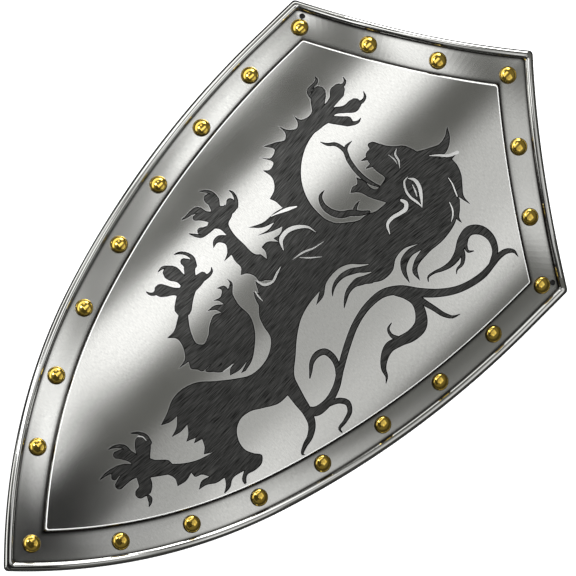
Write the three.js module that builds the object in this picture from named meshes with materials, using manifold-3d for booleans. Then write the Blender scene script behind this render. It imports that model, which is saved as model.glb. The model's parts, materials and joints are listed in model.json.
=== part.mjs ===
// A heater shield: one pressed steel sheet with a rolled rim, and brass rivets all round its border.
// Millimetres, +Z up. The shield lies on its back, on small flats under the rim of its two sides.

import * as THREE from 'three';
import { mergeVertices } from 'three/addons/utils/BufferGeometryUtils.js';
import Module from 'manifold-3d';

const wasm = await Module();
wasm.setup();

const degrees = THREE.MathUtils.degToRad;
const blend = THREE.MathUtils.lerp;

// Outline, seen square on, in the sheet's own frame: the tip at 0, 0 and +Y towards the peak.
const HEIGHT = 700;
const HALF_WIDTH = 187;
const CORNER_Y = 576.5;
const WIDEST_Y = 522;
const UPPER_SIDE_RADIUS = 970;
const UPPER_SIDE_SWEEP = degrees(17.5);
const TOP_HOLLOW = 9; // how far each top edge bows in from the straight line
const CORNER_ROUND = 4; // radius of the outline's points and corners
const BEND_RADIUS = 460; // the sheet is rolled about its long axis

// Section of the sheet, from the edge inwards.
const SHEET = 1.2;
const RIM_RADIUS = 4;
const RIM_LIFT = 0.6; // centre of the rolled rim above the border's edge
const RIM_CURL = degrees(290); // how far round the rim is rolled
const BORDER_START = 8.3;
const COVE = 0.5; // depth of the border's hollow
const STEP_HEIGHT = 2.5;
const STEP_WIDTH = 2.6;
const STEP_INSET = { corner: 32, tip: 36, top: 35.5 }; // edge of the shield to the middle of the step

// Rivets and hanging holes.
const RIVET_HEAD_RADIUS = 8.4;
const RIVET_HEAD_HEIGHT = 5.2;
const RIVET_SHANK_RADIUS = 2.4;
const RIVET_TAIL_RADIUS = 4.4;
const RIVET_TAIL_HEIGHT = 2.2;
const RIVET_INSET = { corner: 20, tip: 20, top: 21.5 };
const SIDE_RIVETS = 7;
const FIRST_SIDE_PITCH = 66.5; // from the corner rivet to the first side rivet
const SIDE_PITCH = { left: 68.5, right: 69.4 }; // marked out by hand, so the sides differ a little
const TOP_PITCHES = 3; // equal steps from the corner rivet to the peak rivet
const TIP_RIVET_Y = 36;
const PEAK_RIVET_Y = 666.5;
const CORNER_RIVET = new THREE.Vector2(165.5, 560);
const HANGING_HOLE = new THREE.Vector2(171.2, 570);
const HANGING_HOLE_RADIUS = 2.7;
const CLEARANCE = 0.3; // air between a rivet and the sheet

const FOOT_TRIM = 0.5; // depth of the flats under the rim that the shield rests on

// Numbers of facets.
const LOWER_SIDE_STEPS = 9;
const UPPER_SIDE_STEPS = 6;
const TOP_STEPS = 6;
const FIELD_COLUMNS = 13; // odd, so that the middle column is level from side to side
const HOLE_SIDES = 12;
const RIVET_SIDES = 12;

// Each side is two arcs that meet smoothly, the lower one ending at the tip.
const upperCentre = new THREE.Vector2(HALF_WIDTH - UPPER_SIDE_RADIUS, WIDEST_Y);
const sweepIn = new THREE.Vector2(-Math.cos(UPPER_SIDE_SWEEP), Math.sin(UPPER_SIDE_SWEEP));
const joint = upperCentre.clone().addScaledVector(sweepIn, -UPPER_SIDE_RADIUS);
const LOWER_SIDE_RADIUS = -joint.lengthSq() / (2 * joint.dot(sweepIn));
const lowerCentre = joint.clone().addScaledVector(sweepIn, LOWER_SIDE_RADIUS);

// Each top edge is a hollow arc from the corner to the peak.
const corner = new THREE.Vector2(HALF_WIDTH, CORNER_Y);
const peak = new THREE.Vector2(0, HEIGHT);
const halfChord = corner.distanceTo(peak) / 2;
const TOP_RADIUS = (halfChord ** 2 + TOP_HOLLOW ** 2) / (2 * TOP_HOLLOW);
const chordUp = peak.clone().sub(corner).normalize();
const topCentre = corner.clone().add(peak).multiplyScalar(0.5)
  .addScaledVector(new THREE.Vector2(chordUp.y, -chordUp.x), TOP_RADIUS - TOP_HOLLOW);

// The point at an angle below the horizontal on a side arc.
function onArc(centre, radius, angle) {
  return new THREE.Vector2(centre.x + radius * Math.cos(angle), centre.y - radius * Math.sin(angle));
}

// The height at which a top edge, moved inwards, stands at x.
function topEdgeY(x, inset) {
  return topCentre.y - Math.sqrt((TOP_RADIUS + inset) ** 2 - (x - topCentre.x) ** 2);
}

// Three points that round off the corner between a and b.
function roundedCorner(a, vertex, b) {
  const toA = a.clone().sub(vertex).normalize();
  const toB = b.clone().sub(vertex).normalize();
  const halfAngle = Math.acos(THREE.MathUtils.clamp(toA.dot(toB), -1, 1)) / 2;
  const cut = CORNER_ROUND / Math.tan(halfAngle);
  const middle = CORNER_ROUND / Math.sin(halfAngle) - CORNER_ROUND;
  const inward = toA.clone().add(toB).normalize();
  return [
    vertex.clone().addScaledVector(toA, cut),
    vertex.clone().addScaledVector(inward, middle),
    vertex.clone().addScaledVector(toB, cut),
  ];
}

// The right half of the outline moved inwards, as sharp runs: the side from tip to corner, and the top.
function halfRuns(inset) {
  const lowerRadius = LOWER_SIDE_RADIUS - inset.tip;
  const tipAngle = Math.acos(-lowerCentre.x / lowerRadius);
  const insetAt = (angle) => blend(inset.corner, inset.tip, angle / tipAngle);
  const side = [];
  for (let i = 0; i < LOWER_SIDE_STEPS; i += 1) {
    const angle = blend(tipAngle, UPPER_SIDE_SWEEP, i / LOWER_SIDE_STEPS);
    side.push(onArc(lowerCentre, LOWER_SIDE_RADIUS - insetAt(angle), angle));
  }
  for (let i = 0; i <= UPPER_SIDE_STEPS; i += 1) {
    const angle = blend(UPPER_SIDE_SWEEP, 0, i / UPPER_SIDE_STEPS);
    side.push(onArc(upperCentre, UPPER_SIDE_RADIUS - insetAt(angle), angle));
  }
  const cornerX = HALF_WIDTH - inset.corner;
  const top = [];
  for (let i = 0; i <= TOP_STEPS; i += 1) {
    const x = blend(cornerX, 0, i / TOP_STEPS);
    top.push(new THREE.Vector2(x, topEdgeY(x, inset.top)));
  }
  side.push(top[0].clone());
  return { side, top };
}

const mirrored = (point) => new THREE.Vector2(-point.x, point.y);

// The right half with its points and corner rounded: from the middle of the tip to that of the peak.
function halfLoop(inset) {
  const { side, top } = halfRuns(inset);
  const tipRound = roundedCorner(mirrored(side[1]), side[0], side[1]);
  const cornerRound = roundedCorner(side.at(-2), top[0], top[1]);
  const peakRound = roundedCorner(top.at(-2), top.at(-1), mirrored(top.at(-2)));
  return [
    ...tipRound.slice(1),
    ...side.slice(1, -1),
    ...cornerRound,
    ...top.slice(1, -1),
    ...peakRound.slice(0, 2),
  ];
}

const evenInset = (distance) => ({ corner: distance, tip: distance, top: distance });

// Insets across the border: 0 where the rim ends, 1 at the middle of the step.
function borderInset(fraction, extra = 0) {
  return {
    corner: blend(BORDER_START, STEP_INSET.corner, fraction) + extra,
    tip: blend(BORDER_START, STEP_INSET.tip, fraction) + extra,
    top: blend(BORDER_START, STEP_INSET.top, fraction) + extra,
  };
}

// The border's hollow, level at both edges.
const coveHeight = (fraction) => -COVE * Math.sin(Math.PI * fraction);

// The section's rings, from the field's edge outwards over the rim and back below to the field.
function sectionRings() {
  const rings = [];
  const add = (inset, height) => rings.push({ inset, height });
  const stepSteps = 4;
  const coveSteps = 4;
  const rimSteps = 9;
  const underRimSteps = 6;
  for (let i = 0; i <= stepSteps; i += 1) {
    const down = i / stepSteps;
    const smooth = down * down * (3 - 2 * down);
    add(borderInset(1, STEP_WIDTH * (0.5 - down)), STEP_HEIGHT * (1 - smooth));
  }
  const footFraction = 1 - STEP_WIDTH / (2 * (STEP_INSET.tip - BORDER_START));
  for (let i = 1; i <= coveSteps; i += 1) {
    const fraction = footFraction * (1 - i / coveSteps);
    add(borderInset(fraction), coveHeight(fraction));
  }
  for (let i = 0; i <= rimSteps; i += 1) {
    const turn = RIM_CURL * (i / rimSteps);
    add(evenInset(RIM_RADIUS + RIM_RADIUS * Math.cos(turn)), RIM_LIFT + RIM_RADIUS * Math.sin(turn));
  }
  const innerRadius = RIM_RADIUS - SHEET;
  const innerStart = degrees(-20);
  for (let i = 0; i <= underRimSteps; i += 1) {
    const turn = blend(RIM_CURL, innerStart, i / underRimSteps);
    add(evenInset(RIM_RADIUS + innerRadius * Math.cos(turn)), RIM_LIFT + innerRadius * Math.sin(turn));
  }
  for (let i = 0; i < coveSteps; i += 1) {
    const fraction = footFraction * (i / coveSteps);
    add(borderInset(fraction), coveHeight(fraction) - SHEET);
  }
  const backShift = SHEET / 2; // keeps the sheet's thickness on the slope
  add(borderInset(1, backShift - STEP_WIDTH / 2), -SHEET);
  add(borderInset(1, backShift), STEP_HEIGHT / 2 - SHEET);
  add(borderInset(1, backShift + STEP_WIDTH / 2), STEP_HEIGHT - SHEET);
  return rings;
}

// A plan point raised off the rolled sheet by a height along its normal.
function onSheet(point, height) {
  const turn = Math.asin(point.x / BEND_RADIUS);
  return new THREE.Vector3(
    point.x + height * Math.sin(turn),
    point.y,
    BEND_RADIUS * (Math.cos(turn) - 1) + height * Math.cos(turn),
  );
}

// Collects a closed triangle mesh, point by point.
class Shell {
  constructor() {
    this.positions = [];
    this.triangles = [];
  }

  point(position) {
    this.positions.push(position.x, position.y, position.z);
    return this.positions.length / 3 - 1;
  }

  quad(a, b, c, d) {
    this.triangles.push(a, b, c, a, c, d);
  }

  geometry() {
    const geometry = new THREE.BufferGeometry();
    geometry.setAttribute('position', new THREE.Float32BufferAttribute(this.positions, 3));
    geometry.setIndex(this.triangles);
    return geometry;
  }
}

// The whole loop of one ring, anticlockwise from the tip: the right half, then the left half mirrored.
function addRing(shell, ring) {
  const half = halfLoop(ring.inset);
  const left = half.slice(1, -1).reverse().map(mirrored);
  return [...half, ...left].map((point) => shell.point(onSheet(point, ring.height)));
}

// Fills a ring with rows that run straight across from its left half to its right half.
function addField(shell, ring, loop, facesUp) {
  const half = halfLoop(ring.inset);
  const last = half.length - 1;
  const rows = half.map((point, i) => {
    if (i === 0 || i === last) {
      return [loop[i]];
    }
    const row = [loop[loop.length - i]];
    for (let column = 1; column < FIELD_COLUMNS; column += 1) {
      const x = point.x * (2 * column / FIELD_COLUMNS - 1);
      row.push(shell.point(onSheet(new THREE.Vector2(x, point.y), ring.height)));
    }
    return [...row, loop[i]];
  });
  for (let i = 0; i < last; i += 1) {
    for (let column = 0; column < FIELD_COLUMNS; column += 1) {
      const low = rows[i];
      const high = rows[i + 1];
      const corners = [
        low[Math.min(column, low.length - 1)],
        low[Math.min(column + 1, low.length - 1)],
        high[Math.min(column + 1, high.length - 1)],
        high[Math.min(column, high.length - 1)],
      ].filter((corner, at, all) => corner !== all[(at + 1) % all.length]);
      if (!facesUp) {
        corners.reverse();
      }
      for (let k = 1; k + 1 < corners.length; k += 1) {
        shell.triangles.push(corners[0], corners[k], corners[k + 1]);
      }
    }
  }
}

// The uncut sheet: its front field, its section all round, and its back field.
function sheetGeometry() {
  const shell = new Shell();
  const rings = sectionRings();
  const loops = rings.map((ring) => addRing(shell, ring));
  addField(shell, rings[0], loops[0], true);
  addField(shell, rings.at(-1), loops.at(-1), false);
  for (let i = 0; i + 1 < loops.length; i += 1) {
    const inner = loops[i];
    const outer = loops[i + 1];
    inner.forEach((from, k) => {
      const next = (k + 1) % inner.length;
      shell.quad(outer[k], outer[next], inner[next], from);
    });
  }
  return shell.geometry();
}

// A three.js geometry as a solid for cutting, and back.
function toSolid(geometry) {
  const bare = geometry.clone();
  bare.deleteAttribute('normal');
  bare.deleteAttribute('uv');
  const merged = mergeVertices(bare);
  return new wasm.Manifold(new wasm.Mesh({
    numProp: 3,
    vertProperties: new Float32Array(merged.attributes.position.array),
    triVerts: new Uint32Array(merged.index.array),
  }));
}

function toGeometry(solid) {
  const mesh = solid.getMesh();
  const geometry = new THREE.BufferGeometry();
  geometry.setAttribute('position', new THREE.BufferAttribute(new Float32Array(mesh.vertProperties), 3));
  geometry.setIndex(new THREE.BufferAttribute(new Uint32Array(mesh.triVerts), 1));
  return geometry;
}

// Turns an object so that its +Z stands square to the sheet at a plan point.
function standOnSheet(object, point, height) {
  object.position.copy(onSheet(point, height));
  object.rotation.y = Math.asin(point.x / BEND_RADIUS);
  object.updateMatrix();
  return object;
}

// Walks down the right-hand rivet line from the corner rivet, in even steps.
function sideRivets(pitch) {
  const line = halfRuns(RIVET_INSET).side.slice(0, -1).reverse();
  line[0] = CORNER_RIVET;
  const places = [];
  let travelled = 0;
  for (let i = 0; i + 1 < line.length && places.length < SIDE_RIVETS; i += 1) {
    const length = line[i].distanceTo(line[i + 1]);
    let next = FIRST_SIDE_PITCH + pitch * places.length;
    while (travelled + length >= next && places.length < SIDE_RIVETS) {
      places.push(line[i].clone().lerp(line[i + 1], (next - travelled) / length));
      next += pitch;
    }
    travelled += length;
  }
  return places;
}

// The rivets between the corner and the peak, on the top edge's own arc.
function topRivets() {
  const places = [];
  for (let i = 1; i < TOP_PITCHES; i += 1) {
    const x = CORNER_RIVET.x * (1 - i / TOP_PITCHES);
    places.push(new THREE.Vector2(x, topEdgeY(x, RIVET_INSET.top)));
  }
  return places;
}

// Every rivet's name and place, on both halves.
function rivetPlaces() {
  const places = [
    { name: 'rivet_tip', point: new THREE.Vector2(0, TIP_RIVET_Y) },
    { name: 'rivet_peak', point: new THREE.Vector2(0, PEAK_RIVET_Y) },
  ];
  const addPair = (name, point) => {
    places.push({ name: `${name}_right`, point });
    places.push({ name: `${name}_left`, point: mirrored(point) });
  };
  addPair('rivet_corner', CORNER_RIVET);
  topRivets().forEach((point, i) => addPair(`rivet_top_${i + 1}`, point));
  sideRivets(SIDE_PITCH.right).forEach((point, i) => places.push({ name: `rivet_side_${i + 1}_right`, point }));
  sideRivets(SIDE_PITCH.left).forEach((point, i) => places.push({ name: `rivet_side_${i + 1}_left`, point: mirrored(point) }));
  return places;
}

// Heights, above the border's edge, of a rivet head's seat and of its tail.
const RIVET_SEAT = CLEARANCE - COVE * 0.35;
const RIVET_TAIL = -COVE - SHEET - CLEARANCE;

// Cuts the rivet holes and hanging holes through the sheet, and the flats that it rests on.
function cutSheet(geometry, rivets, restMatrix) {
  let solid = toSolid(geometry);
  const holeDepth = 12;
  const cutHole = (point, radius) => {
    const drill = new THREE.CylinderGeometry(radius, radius, holeDepth, HOLE_SIDES);
    drill.rotateX(Math.PI / 2);
    const placed = standOnSheet(new THREE.Object3D(), point, 0);
    solid = solid.subtract(toSolid(drill.applyMatrix4(placed.matrix)));
  };
  rivets.forEach((rivet) => cutHole(rivet.point, RIVET_SHANK_RADIUS + CLEARANCE));
  cutHole(HANGING_HOLE, HANGING_HOLE_RADIUS);
  cutHole(mirrored(HANGING_HOLE), HANGING_HOLE_RADIUS);
  const floorDepth = 50;
  const floor = new THREE.BoxGeometry(3 * HALF_WIDTH, 2 * HEIGHT, floorDepth);
  floor.translate(0, HEIGHT / 2, -floorDepth / 2);
  floor.applyMatrix4(restMatrix.clone().invert());
  return toGeometry(solid.subtract(toSolid(floor)));
}

// A round-headed rivet on +Z, its seat at z = 0, spread into a low tail behind the sheet.
function rivetGeometry() {
  const shankEnd = RIVET_TAIL - RIVET_SEAT;
  const profile = [
    [0, shankEnd - RIVET_TAIL_HEIGHT],
    [RIVET_TAIL_RADIUS * 0.7, shankEnd - RIVET_TAIL_HEIGHT * 0.75],
    [RIVET_TAIL_RADIUS, shankEnd],
    [RIVET_SHANK_RADIUS, shankEnd],
    [RIVET_SHANK_RADIUS, 0],
    [RIVET_HEAD_RADIUS, 0],
    [RIVET_HEAD_RADIUS * 0.88, RIVET_HEAD_HEIGHT * 0.45],
    [RIVET_HEAD_RADIUS * 0.54, RIVET_HEAD_HEIGHT * 0.84],
    [0, RIVET_HEAD_HEIGHT],
  ].map(([radius, height]) => new THREE.Vector2(radius, height));
  const geometry = new THREE.LatheGeometry(profile, RIVET_SIDES);
  geometry.rotateX(Math.PI / 2);
  geometry.deleteAttribute('normal');
  geometry.deleteAttribute('uv');
  return mergeVertices(geometry);
}

// How far from the tip the sheet balances: the volume's centre, from its faces' signed tetrahedra.
function balanceY(geometry) {
  const position = geometry.attributes.position;
  const index = geometry.index;
  const [a, b, c] = [new THREE.Vector3(), new THREE.Vector3(), new THREE.Vector3()];
  let volume = 0;
  let moment = 0;
  for (let i = 0; i < index.count; i += 3) {
    a.fromBufferAttribute(position, index.getX(i));
    b.fromBufferAttribute(position, index.getX(i + 1));
    c.fromBufferAttribute(position, index.getX(i + 2));
    const ySum = a.y + b.y + c.y;
    const piece = a.dot(b.cross(c));
    volume += piece;
    moment += piece * ySum / 4;
  }
  return moment / volume;
}

// How the shield lies: face up on its two bowed sides, pitched until they touch level with its balance.
function restingPose(geometry) {
  const position = geometry.attributes.position;
  const balance = balanceY(geometry);
  const pitched = new THREE.Vector3();
  const lowest = (pitch, below) => {
    let low = Infinity;
    const turn = new THREE.Matrix4().makeRotationX(pitch);
    for (let i = 0; i < position.count; i += 1) {
      pitched.fromBufferAttribute(position, i);
      if (pitched.y < balance === below) {
        low = Math.min(low, pitched.applyMatrix4(turn).z);
      }
    }
    return low;
  };
  let flat = 0;
  let steep = degrees(20);
  for (let i = 0; i < 40; i += 1) {
    const pitch = (flat + steep) / 2;
    if (lowest(pitch, false) < lowest(pitch, true)) {
      flat = pitch;
    } else {
      steep = pitch;
    }
  }
  return { pitch: flat, floor: lowest(flat, true) + FOOT_TRIM };
}

const steel = new THREE.MeshStandardMaterial({ color: 0xb8b8b6, roughness: 0.28, metalness: 1 });
const brass = new THREE.MeshStandardMaterial({ color: 0xd9ad3a, roughness: 0.14, metalness: 1 });

const uncut = sheetGeometry();
const pose = restingPose(uncut);
const shield = new THREE.Group();
shield.rotation.x = pose.pitch;
shield.position.z = -pose.floor;
shield.updateMatrix();

const rivets = rivetPlaces();
const plate = new THREE.Mesh(cutSheet(uncut, rivets, shield.matrix), steel);
plate.name = 'shield_plate';
shield.add(plate);

rivets.forEach((rivet) => {
  const mesh = standOnSheet(new THREE.Mesh(rivetGeometry(), brass), rivet.point, RIVET_SEAT);
  mesh.name = rivet.name;
  shield.add(mesh);
});

// Centres the shield over the origin.
const box = new THREE.Box3().setFromObject(shield);
shield.position.y = -(box.min.y + box.max.y) / 2;

const part = new THREE.Group();
part.add(shield);

export default part;
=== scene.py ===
import json
import math

import bmesh
import bpy
import numpy as np
from mathutils import Matrix, Vector
from mathutils.geometry import delaunay_2d_cdt

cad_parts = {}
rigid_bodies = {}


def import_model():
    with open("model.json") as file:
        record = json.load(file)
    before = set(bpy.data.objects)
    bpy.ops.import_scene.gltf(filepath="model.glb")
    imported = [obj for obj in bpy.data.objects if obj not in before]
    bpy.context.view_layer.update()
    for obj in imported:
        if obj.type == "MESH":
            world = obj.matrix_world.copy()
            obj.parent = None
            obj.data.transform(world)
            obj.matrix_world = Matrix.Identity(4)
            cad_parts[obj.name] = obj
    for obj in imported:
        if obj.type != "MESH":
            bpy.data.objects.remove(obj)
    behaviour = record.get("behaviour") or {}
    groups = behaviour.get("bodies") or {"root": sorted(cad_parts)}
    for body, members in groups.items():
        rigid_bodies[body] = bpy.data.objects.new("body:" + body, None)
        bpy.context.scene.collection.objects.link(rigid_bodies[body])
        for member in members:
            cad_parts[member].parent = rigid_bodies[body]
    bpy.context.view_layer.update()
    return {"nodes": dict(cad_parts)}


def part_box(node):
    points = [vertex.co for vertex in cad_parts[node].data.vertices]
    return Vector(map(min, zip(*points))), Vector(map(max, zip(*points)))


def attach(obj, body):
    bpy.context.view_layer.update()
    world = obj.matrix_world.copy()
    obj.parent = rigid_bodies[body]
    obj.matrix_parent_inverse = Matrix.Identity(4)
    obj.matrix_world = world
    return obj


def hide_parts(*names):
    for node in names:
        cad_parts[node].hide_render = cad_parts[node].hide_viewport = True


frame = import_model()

# ---- How the shield lies ----
# The shield rests face up on its two bowed long sides, so it is pitched a little with its peak high.
# Everything on it is laid out on the flat sheet first: millimetres, the tip at 0, 0 and +Y to the peak.
# The line from the tip rivet to the peak rivet gives the pitch and the place.
MM = 0.001
TIP_RIVET_TOP = Vector((0, 36, 5.325))  # top of the tip rivet's head on the sheet
tip_middle = sum(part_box("rivet_tip"), Vector()) / 2
peak_middle = sum(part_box("rivet_peak"), Vector()) / 2
rise = peak_middle - tip_middle
pitched = Matrix.Rotation(math.atan2(rise.z, rise.y), 4, "X") @ Matrix.Scale(MM, 4)
face_up = pitched.to_3x3() @ Vector((0, 0, 1))
top_of_head = max((vertex.co for vertex in frame["nodes"]["rivet_tip"].data.vertices), key=face_up.dot)
on_the_floor = Matrix.Translation(top_of_head - (pitched @ TIP_RIVET_TOP)) @ pitched

# ---- The camera ----
# A long lens from almost square above the face, leaned a little towards the tip, with the shield laid
# across the view from corner to corner.
LEAN_ACROSS = math.radians(4.74)
LEAN_ALONG = math.radians(-13.82)
TURN_IN_VIEW = math.radians(-45.47)
CAMERA_LENS = 340.6
MIDDLE_OF_SHIELD = Vector((0, 350, 0))
FROM_THE_MIDDLE = Vector((14.3, 17.2, 5000))  # the camera's place over it: to the side, up the view, away

bpy.ops.object.select_all(action="DESELECT")
bpy.ops.object.camera_add()
camera = bpy.context.object
camera.name = "camera"
camera.data.lens = CAMERA_LENS
camera.data.sensor_width = 36
camera.data.clip_start = 0.1
camera.data.clip_end = 100
leaned = Matrix.Rotation(LEAN_ALONG, 4, "X") @ Matrix.Rotation(LEAN_ACROSS, 4, "Y")
seen_from = (Matrix.Rotation(TURN_IN_VIEW, 4, "Z") @ leaned).inverted()
place = on_the_floor @ Matrix.Translation(MIDDLE_OF_SHIELD) @ seen_from @ Matrix.Translation(FROM_THE_MIDDLE)
camera.matrix_world = Matrix.LocRotScale(place.translation, place.to_quaternion(), None)
bpy.context.scene.camera = camera

# ---- The studio ----
# A pale plain floor, a dim room, and soft boxes hung flat over the shield. Polished steel shows only what
# hangs above it, so each box lies where one bright streak of the steel looks, with dark gaps between them.
BOX_HEIGHT = 700
BOX_SPACING = 5  # each box hangs a little higher than the one before, so that no two share a plane
WATTS_FOR_ONE = 4  # what a square metre of lamp needs for its face to be as bright as 1


def feed(made, inputs):
    """Each of a node's inputs is set to a value, or joined to another node's output."""
    for name, value in inputs.items():
        if isinstance(value, bpy.types.NodeSocket):
            made.id_data.links.new(value, made.inputs[name])
        else:
            made.inputs[name].default_value = value


def node(tree, kind, inputs=None, **settings):
    """A new shader node with its settings and its inputs."""
    made = tree.nodes.new("ShaderNode" + kind)
    for name, value in settings.items():
        setattr(made, name, value)
    feed(made, inputs or {})
    return made


def new_material(name):
    """A new material, and the tree of its nodes."""
    made = bpy.data.materials.new(name)
    made.use_nodes = True
    return made, made.node_tree


# Each soft box: its middle and size on the sheet's own plan, how bright its face is, and how far in from its
# left, right, low and high edges it fades, as parts of its size.
soft_boxes = {
    "box_left": (-232, 640, 342, 690, 0.92, (0.14, 0.42, 0.1, 0.1)),
    "box_left_low": (-320, 272, 420, 190, 1.12, (0.1, 0.45, 0.25, 0.6)),
    "box_left_tip": (-165, 225, 250, 160, 0.8, (0.2, 0.35, 0.25, 0.45)),
    "box_side_left": (-855, 695, 400, 340, 1.4, (0.5, 0.2, 0.35, 0.4)),
    "box_side_low": (-740, 490, 520, 180, 0.14, (0.2, 0.2, 0.25, 0.25)),
    "box_right": (440, 650, 780, 780, 0.27, (0.13, 0.05, 0.1, 0.1)),
    "box_right_tip": (360, 235, 360, 220, 0.38, (0.2, 0.3, 0.3, 0.5)),
    "box_right_inner": (585, 630, 490, 800, 0.14, (0.6, 0.07, 0.1, 0.1)),
    "box_right_top": (430, 830, 640, 360, 0.15, (0.12, 0.08, 0.4, 0.2)),
    "box_right_low": (570, 400, 400, 260, 0.24, (0.35, 0.25, 0.35, 0.35)),
    "box_middle": (0, 540, 160, 240, 0.06, (0.3, 0.3, 0.3, 0.3)),
}
for number, (name, (x, y, width, length, brightness, fades)) in enumerate(soft_boxes.items()):
    bpy.ops.object.light_add(type="AREA")
    lamp = bpy.context.object
    lamp.name = name
    lamp.data.shape = "RECTANGLE"
    lamp.data.size = width * MM
    lamp.data.size_y = length * MM
    lamp.data.energy = brightness * WATTS_FOR_ONE * width * length * MM**2
    hung = on_the_floor @ Matrix.Translation((x, y, BOX_HEIGHT + BOX_SPACING * number))
    lamp.matrix_world = Matrix.LocRotScale(hung.translation, hung.to_quaternion(), None)
    lamp.visible_camera = False
    lamp.data.use_nodes = True
    tree = lamp.data.node_tree
    across = node(tree, "NewGeometry")
    sides = node(tree, "SeparateXYZ", {0: across.outputs["Parametric"]})
    left, right, low, high = fades
    level = 1.0
    for axis, start, end in (("X", 0, left), ("X", 1, 1 - right), ("Y", 0, low), ("Y", 1, 1 - high)):
        fade = node(
            tree, "MapRange", {"Value": sides.outputs[axis], "From Min": start, "From Max": end},
            interpolation_type="SMOOTHSTEP",
        )
        level = node(tree, "Math", {0: level, 1: fade.outputs[0]}, operation="MULTIPLY").outputs[0]
    feed(tree.nodes["Emission"], {"Strength": level})

# Two lamps stand where neither the face nor the border mirrors them, for the glints on the rivets and the
# bead: one on the left towards the tip, and a broader one on the left beyond the peak. A light from overhead
# is kept out of the steel's mirror: it lights only what is matt, the floor and the step's pale edge,
# which is a painted highlight.
for name, stands, width, power in (
    ("key_left", (-2.1, -0.65, 2.3), 0.9, 14),
    ("key_high", (-1.7, 2.5, 1.3), 1.4, 20),
):
    bpy.ops.object.light_add(type="AREA", location=stands)
    lamp = bpy.context.object
    lamp.name = name
    lamp.data.shape = "DISK"
    lamp.data.size = width
    lamp.data.energy = power
    lamp.rotation_euler = (-Vector(stands)).to_track_quat("-Z", "Y").to_euler()
    lamp.visible_camera = False
bpy.ops.object.light_add(type="SUN", rotation=(0, 0, 0))
overhead = bpy.context.object
overhead.name = "overhead"
overhead.data.energy = 3.5
overhead.data.angle = math.radians(100)
overhead.visible_glossy = False

# The room is dim overhead and black at the foot of its walls, with a row of windows low on the left.
world = bpy.data.worlds.new("room")
bpy.context.scene.world = world
world.use_nodes = True
room = world.node_tree
way = node(room, "TexCoord")
split = node(room, "SeparateXYZ", {0: way.outputs["Generated"]})
walls = node(room, "ValToRGB", {"Fac": split.outputs["Z"]})
for element, (position, colour) in zip(
    walls.color_ramp.elements, ((0.3, (0.02, 0.02, 0.019, 1)), (0.55, (0.112, 0.112, 0.104, 1))),
):
    element.position = position
    element.color = colour
window = node(room, "ValToRGB", {"Fac": split.outputs["Z"]})
for position, level in ((0.12, 0.0), (0.2, 1.3), (0.48, 1.3), (0.6, 0.0)):
    element = window.color_ramp.elements.new(position)
    element.color = (level, level, level * 0.98, 1)
window.color_ramp.elements.remove(window.color_ramp.elements[0])
window.color_ramp.elements.remove(window.color_ramp.elements[-1])
on_the_left = node(room, "MapRange", {"Value": split.outputs["X"], "From Min": -0.3, "From Max": -0.6})
lit = node(
    room, "Mix",
    {"Factor": on_the_left.outputs[0], "A": walls.outputs["Color"], "B": window.outputs["Color"]},
    data_type="RGBA", blend_type="ADD",
)
feed(room.nodes["Background"], {"Color": lit.outputs["Result"]})
bpy.context.scene.view_settings.view_transform = "Standard"
bpy.context.scene.view_settings.look = "None"

# The floor is white paper. A mirror finish sees it as dark, so the outer side of the bead keeps its line.
FLOOR_SIZE = 60
bpy.ops.mesh.primitive_plane_add(size=FLOOR_SIZE)
floor = bpy.context.object
floor.name = "floor"
paper, tree = new_material("floor_paper")
tree.nodes.clear()
path = node(tree, "LightPath")
shade = node(
    tree, "Mix",
    {"Factor": path.outputs["Is Glossy Ray"], "A": (0.6, 0.6, 0.6, 1), "B": (0.03, 0.03, 0.03, 1)},
    data_type="RGBA",
)
matt = node(tree, "BsdfDiffuse", {"Color": shade.outputs["Result"]})
strength = node(tree, "Math", {0: path.outputs["Is Camera Ray"], 1: 0.9}, operation="MULTIPLY")
glow = node(tree, "Emission", {"Color": (1, 1, 1, 1), "Strength": strength.outputs[0]})
both = node(tree, "AddShader", {0: matt.outputs[0], 1: glow.outputs[0]})
node(tree, "OutputMaterial", {"Surface": both.outputs[0]})
floor.data.materials.append(paper)

# A black card hangs over the tip, so that the steel is darkest there.
CARD_AT = Vector((60, -120, BOX_HEIGHT + 60))
CARD_SIZE = (900, 800, 1, 1)
bpy.ops.mesh.primitive_plane_add(size=1)
card = bpy.context.object
card.name = "black_card"
card.matrix_world = on_the_floor @ Matrix.Translation(CARD_AT) @ Matrix.Diagonal(CARD_SIZE)
card.visible_camera = card.visible_shadow = card.visible_diffuse = False
velvet, tree = new_material("black_velvet")
feed(tree.nodes["Principled BSDF"], {"Base Color": (0.012, 0.012, 0.012, 1), "Roughness": 0.9})
card.data.materials.append(velvet)

# ---- The sheet's outline and section ----
# One sheet of steel, 1.2 mm thick. It is cut to a heater outline of plain arcs, a step is pressed in round
# the face, the border is dished a little, and the edge is rolled back into a round bead.
HALF_WIDTH = 187
CORNER_Y = 576.5
WIDEST_Y = 522
PEAK_Y = 700
UPPER_SIDE_RADIUS = 970
UPPER_SIDE_SWEEP = math.radians(17.5)
TOP_HOLLOW = 9  # how far each top edge bows in from the straight line
BEND_RADIUS = 460
SHEET = 1.2
RIM_RADIUS = 4
RIM_LIFT = 0.6  # centre of the bead above the border's edge
RIM_CURL = math.radians(290)  # how far round the bead is rolled
RIM_INNER_END = math.radians(-20)  # where the bead's inner side meets the back of the border
RIM_ROUND, STEP_ROUND = 4, 2.2  # radius of the outline's corners at the bead and at the step
BORDER_START = 8.3  # from the edge of the shield
COVE = 0.5  # depth of the border's hollow
STEP_HEIGHT = 2.5
STEP_WIDTH = 2.6
STEP_INSET = (32, 36, 35.5)  # edge to the middle of the step: at the corner, the tip and the top
STEP_LIP = 0.4  # the pale edge, a painted highlight, reaches this far onto the face
LOWER_STEPS, UPPER_STEPS, STRAIGHT_STEPS, TOP_STEPS = 78, 44, 6, 35

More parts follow.
